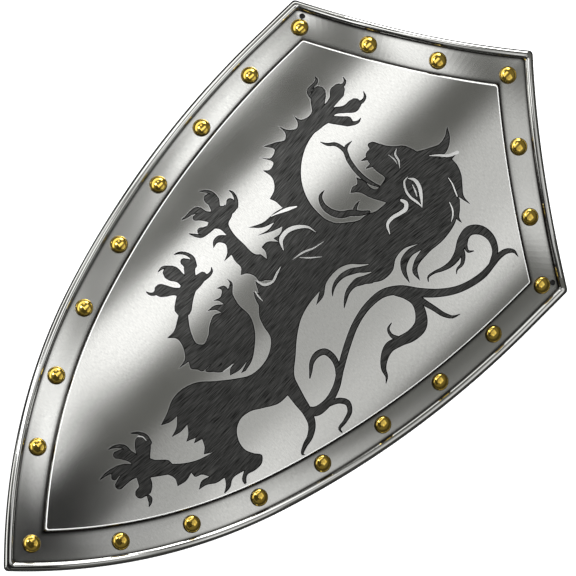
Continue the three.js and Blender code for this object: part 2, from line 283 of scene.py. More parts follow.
upper_centre = Vector((HALF_WIDTH - UPPER_SIDE_RADIUS, WIDEST_Y))
sweep_in = Vector((-math.cos(UPPER_SIDE_SWEEP), math.sin(UPPER_SIDE_SWEEP)))
arcs_meet = upper_centre - sweep_in * UPPER_SIDE_RADIUS
LOWER_SIDE_RADIUS = -arcs_meet.length_squared / (2 * arcs_meet.dot(sweep_in))
lower_centre = arcs_meet + sweep_in * LOWER_SIDE_RADIUS
corner, peak = Vector((HALF_WIDTH, CORNER_Y)), Vector((0, PEAK_Y))
half_chord = (corner - peak).length / 2
TOP_RADIUS = (half_chord**2 + TOP_HOLLOW**2) / (2 * TOP_HOLLOW)
chord_up = (peak - corner).normalized()
top_centre = (corner + peak) / 2 + Vector((chord_up.y, -chord_up.x)) * (TOP_RADIUS - TOP_HOLLOW)


def mirrored(point):
    return Vector((-point.x, point.y))


def rounded(before, vertex, after, radius):
    """Five points round a corner, on a circle that touches both of its legs."""
    to_before, to_after = (before - vertex).normalized(), (after - vertex).normalized()
    half_angle = to_before.angle(to_after) / 2
    centre = vertex + (to_before + to_after).normalized() * (radius / math.sin(half_angle))
    start = vertex + to_before * (radius / math.tan(half_angle)) - centre
    turn = math.pi - 2 * half_angle
    return [centre + Matrix.Rotation(turn * k / 4, 2) @ start for k in range(5)]


def outline(inset, rounding):
    """The outline moved in by its insets at the corner, the tip and the top, anticlockwise from the tip."""
    at_corner, at_tip, at_top = inset
    tip_angle = math.acos(-lower_centre.x / (LOWER_SIDE_RADIUS - at_tip))
    side = []
    for centre, radius, first, last, steps in (
        (lower_centre, LOWER_SIDE_RADIUS, tip_angle, UPPER_SIDE_SWEEP, LOWER_STEPS),
        (upper_centre, UPPER_SIDE_RADIUS, UPPER_SIDE_SWEEP, 0, UPPER_STEPS),
    ):
        for i in range(steps):
            angle = first + (last - first) * i / steps
            moved = radius - (at_corner + (at_tip - at_corner) * angle / tip_angle)
            side.append(centre + Vector((math.cos(angle), -math.sin(angle))) * moved)
    top = []
    for i in range(TOP_STEPS + 1):
        x = (HALF_WIDTH - at_corner) * (1 - i / TOP_STEPS)
        below_centre = math.sqrt((TOP_RADIUS + at_top) ** 2 - (x - top_centre.x) ** 2)
        top.append(Vector((x, top_centre.y - below_centre)))
    # Above its widest point the side runs straight up to the corner.
    for i in range(STRAIGHT_STEPS):
        side.append(Vector((top[0].x, WIDEST_Y + (top[0].y - WIDEST_Y) * i / STRAIGHT_STEPS)))
    half = (
        rounded(mirrored(side[1]), side[0], side[1], rounding)[2:] + side[1:]
        + rounded(side[-1], top[0], top[1], rounding) + top[1:-1]
        + rounded(top[-2], top[-1], mirrored(top[-2]), rounding)[:3]
    )
    return half + [mirrored(point) for point in half[-2:0:-1]]


def border_inset(part, extra=0.0):
    """Insets across the border: part is 0 where the bead ends and 1 at the middle of the step."""
    return tuple(BORDER_START + (end - BORDER_START) * part + extra for end in STEP_INSET)


def bent(x, y, height):
    """A point of the flat plan, as it stands once the sheet is rolled to its curve: millimetres."""
    turn = math.asin(x / BEND_RADIUS)
    return Vector((
        x + height * math.sin(turn), y, BEND_RADIUS * (math.cos(turn) - 1) + height * math.cos(turn),
    ))


def eased(part):
    """From 0 to 1, level at both ends."""
    return part * part * (3 - 2 * part)


def dished(part):
    """How high the border's front stands at a part of its way across."""
    return -COVE * math.sin(math.pi * part)


# Each ring of the section: its insets, height and corner rounding, the finish of the band that leads to it,
# and how much painted shade it gets, from 0 to 1.
FIELD, BORDER, RIM, BACK, ETCH_LINE, ETCH_FUR, ETCH_PALE_LINE, SLIT, EDGE = range(9)
HIGHLIGHT_DOWN_TO = 0.25  # part of the step's fall that is painted pale as a highlight
SHADE_FROM, SHADE_FULL = 0.35, 0.6  # parts of the step's fall
section = [(border_inset(1, STEP_WIDTH / 2 + STEP_LIP), STEP_HEIGHT, STEP_ROUND, EDGE, 0)]
for i in range(11):
    down = i / 10
    section.append((
        border_inset(1, STEP_WIDTH * (0.5 - down)), STEP_HEIGHT * (1 - eased(down)), STEP_ROUND,
        EDGE if down < HIGHLIGHT_DOWN_TO else BORDER,
        min(1, max(0, (down - SHADE_FROM) / (SHADE_FULL - SHADE_FROM))),
    ))
# Painted shade lies at the foot of the step and, more narrowly, along the bead and a little way up it.
STEP_SHADE, BEAD_SHADE = 0.17, 0.07  # parts of the border's width
SHADE_UP_THE_BEAD = 0.7  # radians
foot = 1 - STEP_WIDTH / (2 * (STEP_INSET[1] - BORDER_START))
for i in range(1, 19):
    part = foot * (1 - i / 18)
    section.append((
        border_inset(part), dished(part), STEP_ROUND + (RIM_ROUND - STEP_ROUND) * (1 - part), BORDER,
        max(0, 1 - (foot - part) / STEP_SHADE) ** 1.7 + max(0, 1 - part / BEAD_SHADE),
    ))
for i in range(25):
    turn = RIM_CURL * i / 24
    inset = RIM_RADIUS + RIM_RADIUS * math.cos(turn)
    height = RIM_LIFT + RIM_RADIUS * math.sin(turn)
    section.append(((inset,) * 3, height, RIM_ROUND, RIM, max(0, 1 - turn / SHADE_UP_THE_BEAD)))
# The inside of the rolled bead and the back of the sheet get painted shade as well.
for i in range(11):
    turn = RIM_CURL + (RIM_INNER_END - RIM_CURL) * i / 10
    inset = RIM_RADIUS + (RIM_RADIUS - SHEET) * math.cos(turn)
    height = RIM_LIFT + (RIM_RADIUS - SHEET) * math.sin(turn)
    section.append(((inset,) * 3, height, RIM_ROUND, BACK, 0.8))
for i in range(10):
    part = foot * i / 10
    rounding = RIM_ROUND - (RIM_ROUND - STEP_ROUND) * part
    section.append((border_inset(part), dished(part) - SHEET, rounding, BACK, 0.3 if i < 2 else 0))
for i in range(7):
    up = i / 6
    inset = border_inset(1, SHEET / 2 + STEP_WIDTH * (up - 0.5))
    section.append((inset, STEP_HEIGHT * eased(up) - SHEET, STEP_ROUND, BACK, 0.2))

# ---- The etched lion ----
# A rampant lion, a common beast on heater shields, bitten into the face with acid. The etcher paints
# round it with wax, cuts the fur as fine strokes along the sheet, and lets the acid work a third of a
# millimetre deep. It is drawn as masses, tapering locks of fur, and slits left bright between them.
ETCH_DEPTH = 0.35
OUTLINE_WIDTH = 0.8  # solid black just inside the edge of the etching
PALE_LINE_WIDTH = 0.75  # a thin line painted paler than the face, just outside it
STROKE_STEP = 1.7  # a curve has a point at least this often
THINNEST = 0.02  # where a stroke's half width is less, it has ended
BLUNT = 1.2  # a stroke whose half width is more than this where it ends is rounded off
MITRE_LIMIT = 1.6  # how far past its distance a sharp point may move when its outline is grown


def smooth_run(points, closed):
    """A curve through points of (x, y, ...): a string after them marks a sharp corner."""
    count = len(points)
    segments = count if closed else count - 1
    plain = [np.array([value for value in point if not isinstance(value, str)], float) for point in points]
    sharp = [isinstance(point[-1], str) for point in points]

    def tangent(i, side):
        before, after = i - 1, i + 1
        if closed:
            before, after = before % count, after % count
        if sharp[i] or before < 0 or after >= count:
            other = after if side > 0 else before
            return (plain[other] - plain[i]) * side
        back, ahead = plain[i] - plain[before], plain[after] - plain[i]
        long_back, long_ahead = np.hypot(*back[:2]), np.hypot(*ahead[:2])
        slope = (back / long_back * long_ahead + ahead / long_ahead * long_back) / (long_back + long_ahead)
        return slope * (long_ahead if side > 0 else long_back)

    run = []
    for i in range(segments):
        j = (i + 1) % count
        start, end = plain[i], plain[j]
        leave, arrive = tangent(i, 1), tangent(j, -1)
        steps = max(2, math.ceil(np.hypot(*(end - start)[:2]) / STROKE_STEP))
        for k in range(steps):
            t = k / steps
            run.append(
                (2 * t**3 - 3 * t**2 + 1) * start + (t**3 - 2 * t**2 + t) * leave
                + (3 * t**2 - 2 * t**3) * end + (t**3 - t**2) * arrive
            )
    if not closed:
        run.append(plain[-1])
    return np.array(run)


def lock_outline(centre, grow=0.0):
    """Both edges of a tapering stroke whose centre line holds x, y and half its width."""
    ahead = np.gradient(centre[:, :2], axis=0)
    ahead /= np.hypot(ahead[:, 0], ahead[:, 1])[:, None] + 1e-9
    across = np.stack([-ahead[:, 1], ahead[:, 0]], 1)
    half = centre[:, 2:3] + grow
    keep = half[:, 0] > THINNEST
    if keep.sum() < 3:
        return None
    left = (centre[:, :2] + across * half)[keep]
    right = (centre[:, :2] - across * half)[keep]
    ends = []
    for at, way in ((keep.nonzero()[0][-1], 1), (keep.nonzero()[0][0], -1)):
        radius = half[at, 0]
        swing = [60, 20, -20, -60] if radius > BLUNT else [0]
        ends.append([
            centre[at, :2] + radius * way * (ahead[at] * math.cos(angle) + across[at] * math.sin(angle))
            for angle in map(math.radians, swing)
        ])
    return np.concatenate([left, ends[0], right[::-1], ends[1]])[::-1]


def grown(loop, distance):
    """A closed outline moved outwards along its own normals."""
    ahead = np.roll(loop, -1, 0) - loop
    ahead /= np.hypot(ahead[:, 0], ahead[:, 1])[:, None] + 1e-9
    back = np.roll(ahead, 1, 0)
    normal = np.stack([ahead[:, 1] + back[:, 1], -ahead[:, 0] - back[:, 0]], 1)
    length = np.hypot(normal[:, 0], normal[:, 1])[:, None] + 1e-9
    stretch = np.minimum(2 / length, MITRE_LIMIT)
    return loop + normal / length * distance * stretch


def turned_left(loop):
    """The same outline, taken anticlockwise."""
    nxt = np.roll(loop, -1, 0)
    area = (loop[:, 0] * nxt[:, 1] - nxt[:, 0] * loop[:, 1]).sum()
    return loop if area > 0 else loop[::-1]


C = "corner"
etching = []  # each: what it is, its outline, the same grown, and the same shrunk


def mass(points):
    """A broad part of the beast: the points round its edge."""
    loop = turned_left(smooth_run(points, True)[:, :2])
    etching.append(("ink", loop, grown(loop, PALE_LINE_WIDTH), grown(loop, -OUTLINE_WIDTH)))


def lock(points):
    """A tapering lock: x, y and half the width along its middle."""
    centre = smooth_run(points, False)
    loops = (lock_outline(centre, grow) for grow in (0, PALE_LINE_WIDTH, -OUTLINE_WIDTH))
    etching.append(("ink", *loops))


def toe(pad, claw):
    """A toe's pad and its claw."""
    lock(pad)
    lock(claw)


def slit(points, dark_edge=OUTLINE_WIDTH, kind="scraped"):
    """A tapering slit through what is drawn before it: scraped bright, or bare as the face is."""
    centre = smooth_run(points, False)
    etching.append((kind, lock_outline(centre), lock_outline(centre, dark_edge), None))


# Tail, from its root up round the back to the curl.
lock([
    (58, 312, 8), (78, 309, 6), (93, 307, 4.6), (103, 303, 3.8), (110, 294, 3), (113, 284, 2.2),
    (117, 278, 1.3), (121, 280, 0.5),
])
lock([
    (90, 307, 4), (97, 314, 4.6), (99, 325, 4.2), (95, 342, 3.6), (85, 358, 3.4), (73, 379, 3.4),
    (65, 397, 3.3), (61, 418, 3.5), (63, 436, 4), (72, 450, 4.5), (86, 462, 4.4), (100, 477, 3.9),
    (110, 493, 3.5), (115, 508, 3.4), (117, 522, 3.4), (116, 534, 3), (115, 544, 3), (117, 553, 2.5),
    (122, 558, 1.6), (128, 558, 0.4),
])
lock([
    (98, 316, 2), (101, 328, 2.4), (106, 338, 2.8), (113, 342, 2.8), (119, 339, 2.5), (123, 329, 2),
    (125, 320, 1.3), (129, 320, 0.5),
])
lock([
    (87, 352, 2), (81, 357, 2.8), (72, 359.5, 3.1), (63, 357, 3.1), (60, 350, 3), (62, 341, 2.3),
    (67, 335, 1.6), (71, 330, 0.7),
])
lock([
    (116, 532, 2.6), (109, 544, 3.2), (97, 549, 3.8), (85, 546, 4.5), (78, 537, 4.7), (80, 526, 4.8),
    (86, 515, 4.2), (88, 504, 3.1), (86, 494, 2.1), (82.5, 485, 1.3), (82, 478, 1), (85, 475.5, 0.5),
])
lock([(81, 530, 2.6), (86, 525, 2), (91, 523.6, 1.4), (94.5, 528, 0.5)])
lock([(84, 521, 2.5), (91, 517, 2.4), (95.5, 511, 1.8), (96, 504, 0.9), (98.5, 501, 0.4)])
lock([(84, 457, 4), (94, 459, 3.2), (106, 463, 2.6), (118, 467, 2.2), (125, 472, 1.4), (128, 479, 0.4)])
lock([
    (70, 445, 3.4), (79, 452, 5), (90, 454, 4.6), (101, 450.5, 5.6), (109, 443, 6.5), (110, 431, 5.8),
    (106, 418, 4.8), (103, 406, 5), (107, 396, 3.8), (114, 389, 2.6), (121, 386.5, 1.4), (125, 382, 0.4),
])
lock([(103, 418, 2.6), (96, 415.3, 1.8), (90, 417, 1.3), (88, 423, 0.5)])

# Near foreleg, raised, with its paw.
mass([
    (-83, 515, C), (-86.5, 498), (-84, 482), (-76, 466), (-64, 453), (-46, 444), (-25, 443), (0, 452),
    (10, 436), (-20, 424), (-45, 433, C), (-57, 422), (-67, 421), (-72, 419, C), (-75, 428), (-84, 435),
    (-95, 434, C), (-91, 439), (-93, 446), (-105, 441, C), (-98, 448), (-101, 456), (-110, 451, C),
    (-105, 462), (-101, 470), (-104, 474), (-113.5, 475, C), (-105, 479), (-101, 486), (-104, 490),
    (-111, 492, C), (-104, 494), (-101, 502), (-103, 512), (-92, 522),
])
lock([(-93, 496, 7), (-93, 506, 8), (-93, 514, 9), (-93, 518, 7)])
toe(
    [(-94, 509, 6), (-102, 515, 6), (-108, 522, 6.8), (-110, 525, 6.4)],
    [
        (-112, 517, 2), (-117, 519.5, 2.2), (-118.2, 525, 1.8), (-118.4, 530, 1.6), (-120, 532.8, 1.2),
        (-123, 533.6, 0.4),
    ],
)
toe(
    [(-94, 516, 5), (-95, 524, 3.9), (-96, 530, 4.4), (-99, 538.5, 6.5), (-99.5, 540.5, 5.6)],
    [(-100, 543, 2.6), (-99.6, 547, 1.6), (-101, 550.3, 1.2), (-104.5, 551.8, 0.4)],
)
toe(
    [(-91, 514, 5), (-88, 523, 3.4), (-83, 530, 3.6), (-79.5, 539, 6), (-79.5, 541.5, 5.4)],
    [(-78, 543, 2.4), (-76.7, 549, 1.6), (-78.3, 553, 1.3), (-82.3, 555.2, 0.4)],
)
toe(
    [(-92, 512, 6), (-84, 515, 4.2), (-77, 520.5, 4.4), (-73, 524, 4.9)],
    [(-72, 523, 3.4), (-67.8, 527, 2), (-66, 531, 1.3), (-66.7, 535, 0.4)],
)

# Far foreleg, reached forward under the first.
mass([
    (-40, 395), (-46, 388), (-46, 381, C), (-41, 381), (-35, 377, C), (-42, 376, C), (-44, 373.5),
    (-60, 371.5), (-74, 372), (-82, 375), (-86, 384), (-92, 386), (-100, 380), (-101, 370), (-96, 364),
    (-89, 362), (-84, 365.5), (-76, 366, C), (-81, 360), (-80.5, 353), (-75.6, 348.3, C), (-76.5, 355),
    (-70.5, 359), (-65, 355.5), (-60.4, 346.8, C), (-60, 356, C), (-53, 354), (-46, 354), (-41, 348.5, C),
    (-38, 354), (-30, 357.5), (-25, 357), (-22, 362, C), (-17, 368), (-20, 380), (-10, 400),
])
toe(
    [(-91, 374, 8), (-91.5, 382, 5.4), (-92, 389, 5.4), (-95, 391, 3.8)],
    [(-89.5, 391, 3.4), (-92, 395.5, 2), (-96, 398, 1.6), (-100, 398.9, 1.2), (-103.5, 398, 0.4)],
)
toe(
    [(-94, 374, 6), (-102, 378, 4.8), (-108, 380.5, 6), (-110, 379.5, 5.4)],
    [(-107, 384, 2.6), (-112, 385, 1.8), (-117, 382.6, 1.4), (-121.4, 378.4, 0.4)],
)
toe(
    [(-95, 369, 5), (-102, 364.5, 4.8), (-105.5, 360, 3.6), (-106.5, 357.4, 2.8)],
    [(-104, 366, 3), (-110, 364, 3.4), (-112.6, 357.5, 1.9), (-113, 352, 1.2), (-114, 347.2, 0.4)],
)
toe(
    [(-92, 366, 5), (-91, 360, 3.4), (-92, 355, 3.8), (-94.5, 351.8, 3.6)],
    [(-90.5, 354, 2.4), (-91.4, 348.8, 2), (-95.5, 345.2, 1.5), (-100.6, 342.3, 0.4)],
)

# Near hind leg, raised, with the curl of its thigh.
mass([
    (-34, 331), (-24, 328), (-8, 328), (4, 322), (14, 312), (22, 300), (24.5, 290, C), (23, 285, C),
    (19, 297, C), (20, 286), (17.5, 276, C), (13, 281), (12, 286, C), (11.5, 276), (8, 270), (4, 267),
    (4.5, 280, C), (3, 265), (-1, 262), (-2, 270, C), (-4, 259), (-7, 258, C), (-12, 254), (-18, 257, C),
    (-20, 246, C), (-22, 256), (-30, 262), (-40, 264), (-47, 258, C), (-47, 266), (-53, 278), (-60, 290),
    (-66, 300), (-60, 312), (-60, 308, C), (-56, 296), (-46, 285), (-34, 277), (-24, 274.5), (-20, 278),
    (-22, 286), (-29, 296), (-32, 305), (-29, 311, C), (-34, 309), (-39, 302.5, C), (-38, 311), (-33, 318, C),
    (-38, 317), (-42, 313, C), (-40, 321), (-44, 326), (-48, 323.5, C), (-44, 331), (-40, 331, C), (-43, 336),
    (-48, 337, C), (-42, 338),
])
lock([(-56, 288, 8), (-63, 299, 7.6), (-66, 307, 7), (-66, 313, 6)])
toe(
    [(-65, 308, 6), (-64.6, 317, 5.1), (-64.6, 323, 3.9)],
    [(-62.6, 322, 2.8), (-61.2, 328, 1.7), (-62, 332, 1.2), (-64.6, 334.3, 0.4)],
)
toe(
    [(-68, 310, 6), (-75, 316.5, 5), (-81, 321, 5.3), (-85.4, 320, 3.6)],
    [(-77, 324, 3), (-83, 328, 2.1), (-89.5, 326.6, 1.6), (-94, 323, 1.3), (-96.4, 318.3, 0.4)],
)
toe(
    [(-68, 307, 6), (-77, 306.5, 5), (-85, 304.5, 7.2), (-87, 303.5, 7)],
    [(-86, 309.5, 2), (-91, 306.5, 1.8), (-95, 302, 1.4), (-95.4, 296.2, 0.4)],
)
toe(
    [(-64, 299, 7), (-72, 294, 3.6), (-78, 288.5, 5.4), (-81.5, 285.5, 6.2)],
    [(-83, 282, 2.4), (-84, 278, 1.7), (-87, 275.6, 1.2), (-90, 275, 0.4)],
)

# Head, thrown back, with open jaws.
mass([
    (-4, 552), (-14, 549.5), (-21, 546), (-26, 540, C), (-31, 535), (-38, 530.5), (-44.5, 526), (-45, 521.5),
    (-41, 520, C), (-40, 514), (-33, 510.5), (-22, 510), (-12, 511), (-10, 504, C), (-10, 498), (-16, 495),
    (-23, 495.5), (-31, 492, C), (-26, 488), (-27, 483), (-24.5, 477.5, C), (-19, 484), (-9, 488),
    (5, 496, C), (16, 500), (25, 530), (12, 556),
])
lock([(-2, 545, 9), (3, 559, 7), (5.5, 571, 5), (2, 581, 2.8), (-5.5, 588.5, 0.3)])
# The mane and the neck, down to the shoulder.
mass([
    (0, 555, C), (8, 560), (13, 568), (18.5, 578, C), (19, 571, C), (27, 570.5), (36, 567), (43, 561.5),
    (51, 555.5), (61.5, 555, C), (54, 552.5), (49, 551), (55, 545), (63, 533), (67, 514), (66, 492),
    (69, 476), (79, 470, C), (68, 470), (62, 478), (59, 490, C), (57, 480), (61, 469), (74, 461, C),
    (62, 462), (53, 468), (50, 480), (53, 492, C), (47, 478), (48, 467), (54, 457), (54, 444), (47, 432),
    (40, 420), (0, 420), (-18, 440), (-8, 455), (-1, 466), (0, 474), (4, 484), (5, 496, C), (-2, 510),
    (-4, 535),
])
lock([(50, 549, 1.6), (56, 543, 1.9), (62, 537, 1.6), (67.5, 537, 0.3)])

# Chest, shoulder, waist and haunch, down the standing leg.
mass([
    (-55, 428), (-30, 440), (0, 450), (30, 446), (29, 436), (21, 426), (17.5, 414), (19, 402), (26, 391),
    (27, 380.5, C), (20, 392, C), (22, 375), (26, 362), (34, 349), (47, 334), (59, 321), (72, 315), (80, 309),
    (68, 305, C), (67.5, 293), (60, 278), (54, 267), (53, 255), (57, 247), (66, 241), (76, 240), (84, 244),
    (90.5, 248.5), (95.5, 244), (96, 234), (94, 226), (101.5, 218, C), (94, 219), (89, 226, C), (87, 213),
    (91, 206), (91.5, 197, C), (86, 205), (81, 208, C), (79, 199), (74, 191), (72, 182.5, C), (68, 190),
    (70, 198, C), (64, 194), (61, 188), (56, 188, C), (58, 180), (56, 170, C), (50, 173), (41, 170),
    (34, 160), (26, 150), (16, 152), (12, 164), (21, 169.5), (30, 174), (41, 184), (51, 199),
    (56.5, 215.5, C), (52, 208, C), (48, 213), (41, 216.5, C), (38.5, 208, C), (36, 213, C), (32.5, 204, C),
    (29, 210), (22, 215.5, C), (22.5, 207), (20, 197, C), (17, 206), (10, 214, C), (9.5, 206), (5.5, 197, C),
    (2, 208), (-4, 222), (-4.5, 234), (0, 248), (12, 263), (23, 278), (30, 290), (31.5, 303), (28, 317),
    (19, 328), (6, 331), (-2, 334), (-10, 341, C), (-14, 342), (-22, 346, C), (-18, 349, C), (-28, 354.5, C),
    (-22, 358), (-18, 365), (-22, 380, C), (-30, 392), (-38, 396), (-44, 395, C), (-43, 403), (-46, 409, C),
    (-49, 400), (-56, 386, C), (-53, 399), (-54, 406, C), (-58, 395), (-67, 385.5, C), (-61, 399), (-60, 414),
])
lock([
    (0, 478, 1.5), (-4, 472, 2.4), (-11, 465, 3), (-16, 457, 3.3), (-25, 451.5, 3.1), (-35, 451, 2.4),
    (-41.5, 455, 1.6), (-43, 461.5, 0.3),
])
lock([(-8, 466, 2), (-12, 472, 1.5), (-13.5, 478.5, 0.3)])
lock([
    (-10, 502, 1), (-15, 499.5, 1.7), (-25, 496.8, 2.2), (-36, 496.5, 2.3), (-47, 498.5, 2.3),
    (-56, 502, 2.1), (-66, 500, 1.9), (-71, 494.5, 1.4), (-77, 491.5, 0.3),
])
lock([(-51, 500, 1.6), (-57, 505, 1.7), (-57.5, 513.5, 0.3)])
lock([(-36, 513, 2), (-38.5, 506.5, 0.3)])
lock([(-29, 511, 2), (-30.5, 504.5, 0.3)])

# Standing paw.
lock([(36, 174, 7), (28, 164, 8), (21, 157, 10), (19, 154, 8)])
toe(
    [(22, 158, 7), (14, 166, 6.4), (7, 172, 7.4), (5, 173.5, 7)],
    [(9, 178, 3), (3, 180, 2), (-3, 177.6, 1.5), (-8.6, 171.8, 0.4)],
)
toe(
    [(16, 158, 5), (7, 157, 5), (0, 153, 5), (-3.5, 148.4, 3.4)],
    [(4, 158, 3), (-4, 158.4, 2.2), (-9.5, 153.4, 1.5), (-12.4, 146.4, 0.4)],
)
toe(
    [(18, 150, 6), (11, 143, 6), (7.5, 137, 4.6), (9.5, 132.5, 2.8)],
    [(10, 142, 5), (4.6, 136, 2.6), (2.4, 129, 1.5), (2, 121.6, 0.4)],
)
lock([(19, 152, 6), (17, 143, 5.4), (17.4, 134, 4.4), (17.8, 131, 4)])
lock([(22, 156, 8), (31, 150, 5.4), (36.5, 146.5, 6), (36.5, 140, 4.8)])
lock([(30, 154, 4), (37, 150.5, 3.6), (40.5, 147, 2.6)])
lock([(42, 144, 1), (46, 143.5, 2.3), (49, 141, 1.6), (51, 137.5, 0.3)])

# Slits left bright: the crest's root, the mane's locks, eye, cheek, shoulder and flank.
slit([(2, 557, 0.3), (8, 564, 1), (14, 570, 1.3), (18, 579, 1.6)])
slit([(29, 556, 0.3), (36, 554.8, 0.6), (42, 552.4, 0.7), (47, 550.4, 0.5)])
slit([(46, 541, 0.3), (52, 539, 0.7), (57, 535, 0.6), (60, 530, 0.2)], 0.4)
slit([(3, 527, 0.2), (8, 530.5, 1.5), (16, 529.5, 1.8), (23, 525, 1.5), (31.5, 518, 0.2)])
slit([(4, 522, 0.2), (9, 518, 1), (17, 516.5, 1.1), (25, 518, 1), (31, 518.5, 0.3)])
slit([(2, 528, 0.2), (2.5, 523, 0.8), (7, 518.5, 0.8)])
slit([(10, 526, 0.3), (16, 524, 0.7), (21, 521.5, 0.3)], 0.3)
slit([
    (13, 508, 1.2), (18, 509.5, 1.9), (21.5, 506, 2), (21, 499, 1.7), (19, 491, 1.6), (20, 483, 1.4),
    (28, 478, 0.4),
])
slit([(34, 443.5, 0.3), (29.5, 437, 1), (23.5, 429.5, 1.9), (20, 420, 2.4), (19.6, 412, 2.5)], kind="bare")
slit([(41, 440.5, 0.3), (37.5, 434, 1.2), (32.5, 426.5, 2.6), (31, 418.5, 4), (31.5, 411, 4.6)], kind="bare")
lock([(34.5, 438, 2.6), (28.5, 428, 2.7), (24.8, 418, 2.3), (25, 409, 1.9), (28, 402, 1.2), (31.5, 398, 0.4)])
lock([(45, 436, 4.6), (40, 427, 3.5), (37.8, 419, 2.8), (39, 411, 2.2), (43, 404, 1.5), (47, 398.5, 0.4)])
slit([(-24, 539, 0.2), (-21, 534, 0.9), (-15, 532.5, 0.9), (-9, 528, 0.2)])
slit([(-25, 529, 0.2), (-18, 530, 0.6), (-13, 529, 0.2)], 0.3)
slit([(-50, 432, 0.6), (-54, 424, 1.6), (-58, 414, 0.7), (-60, 408, 0.3)])
slit([(-21, 428, 0.2), (-29, 426, 1), (-36, 419, 1.8), (-40, 409, 2), (-38, 399, 1.8), (-30, 394, 0.3)])
slit([(-10, 427, 0.2), (-12, 416, 0.7), (-16, 406, 0.9), (-18, 394, 0.2)], 0.3)
slit([(-1, 416, 0.2), (-9, 406, 0.7), (-15, 400, 0.2)], 0.3)
slit([(-21, 381, 0.3), (-19, 374, 1), (-16.5, 366, 1.1), (-20, 358, 1.3), (-27, 355.5, 0.6)])
slit([(-10, 346.5, 0.2), (-15, 346.5, 0.7), (-21, 347.5, 0.6)], 0.3)
slit([(12, 286, 0.2), (11.5, 280, 0.5), (10.5, 274, 0.3)], 0.3)
slit([(6, 177.5, 0.3), (1.5, 177.6, 0.6), (-2, 174.6, 0.6)], 0.3)

# ---- The steel's finishes ----
# The sheet is ground along its length to a fine satin, then the bead and border are buffed brighter. Acid
# leaves the etching grey, with the fur cut through it in fine strokes and a black line round its edge. The
# step's edge is painted pale as a highlight, and painted shade darkens the creases.


def node_group(name, inputs, outputs):
    """An empty shader group with its named sockets."""
    group = bpy.data.node_groups.new(name, "ShaderNodeTree")
    for label, kind, value in inputs:
        socket = group.interface.new_socket(name=label, in_out="INPUT", socket_type=kind)
        if value is not None:
            socket.default_value = value
    for label, kind in outputs:
        group.interface.new_socket(name=label, in_out="OUTPUT", socket_type=kind)
    entry, leave = group.nodes.new("NodeGroupInput"), group.nodes.new("NodeGroupOutput")
    return group, entry, leave


# Grinding marks: three sizes of streak, each drawn out along the first axis of its map.
grinding, entry, leave = node_group(
    "grinding_marks",
    [
        ("Vector", "NodeSocketVector", None), ("Finest", "NodeSocketFloat", 2600.0),
        ("Drawn Out", "NodeSocketFloat", 0.05),
    ],
    [("Streak", "NodeSocketFloat"), ("Patch", "NodeSocketFloat")],
)
total = 0.0
for ratio, weight in ((1.0, 0.55), (0.5, 0.3), (0.25, 0.15)):
    scale = node(grinding, "Math", {0: entry.outputs["Finest"], 1: ratio}, operation="MULTIPLY").outputs[0]
    drawn = node(grinding, "Math", {0: scale, 1: entry.outputs["Drawn Out"]}, operation="MULTIPLY")
    stretch = node(grinding, "CombineXYZ", {"X": drawn.outputs[0], "Y": scale, "Z": scale})
    moved = node(
        grinding, "VectorMath", {0: entry.outputs["Vector"], 1: stretch.outputs[0]}, operation="MULTIPLY",
    )
    streaks = node(grinding, "TexNoise", {"Vector": moved.outputs[0], "Scale": 1.0, "Detail": 2.0})
    added = node(grinding, "Math", {0: streaks.outputs["Fac"], 1: weight, 2: total}, operation="MULTIPLY_ADD")
    total = added.outputs[0]
spread = node(grinding, "MapRange", {"Value": total, "From Min": 0.38, "From Max": 0.62})
broad = node(grinding, "TexNoise", {"Vector": entry.outputs["Vector"], "Scale": 14.0, "Detail": 3.0})
feed(leave, {"Streak": spread.outputs[0], "Patch": broad.outputs["Fac"]})

# Painted shade for the creases: it darkens the metal where shade falls, broken up a little by specks.
crease_shade_group, entry, leave = node_group(
    "painted_crease_shade",
    [
        ("Color", "NodeSocketColor", (0.7, 0.7, 0.7, 1)), ("Painted Shade", "NodeSocketFloat", 0.0),
        ("Amount", "NodeSocketFloat", 1.0),
    ],
    [("Color", "NodeSocketColor")],
)
place = node(crease_shade_group, "TexCoord")
specks = node(crease_shade_group, "TexNoise", {"Vector": place.outputs["Object"], "Scale": 160.0, "Detail": 4.0})
uneven = node(
    crease_shade_group, "MapRange", {"Value": specks.outputs["Fac"], "From Min": 0.3, "From Max": 0.6, "To Min": 0.95},
)
amount = node(crease_shade_group, "Math", {0: entry.outputs["Painted Shade"], 1: entry.outputs["Amount"]}, operation="MULTIPLY")
broken = node(crease_shade_group, "Math", {0: amount.outputs[0], 1: uneven.outputs[0]}, operation="MULTIPLY")
darkened = node(
    crease_shade_group, "Mix", {"Factor": broken.outputs[0], "A": entry.outputs["Color"], "B": (0.03, 0.027, 0.024, 1)},
    data_type="RGBA",
)
feed(leave, {"Color": darkened.outputs["Result"]})


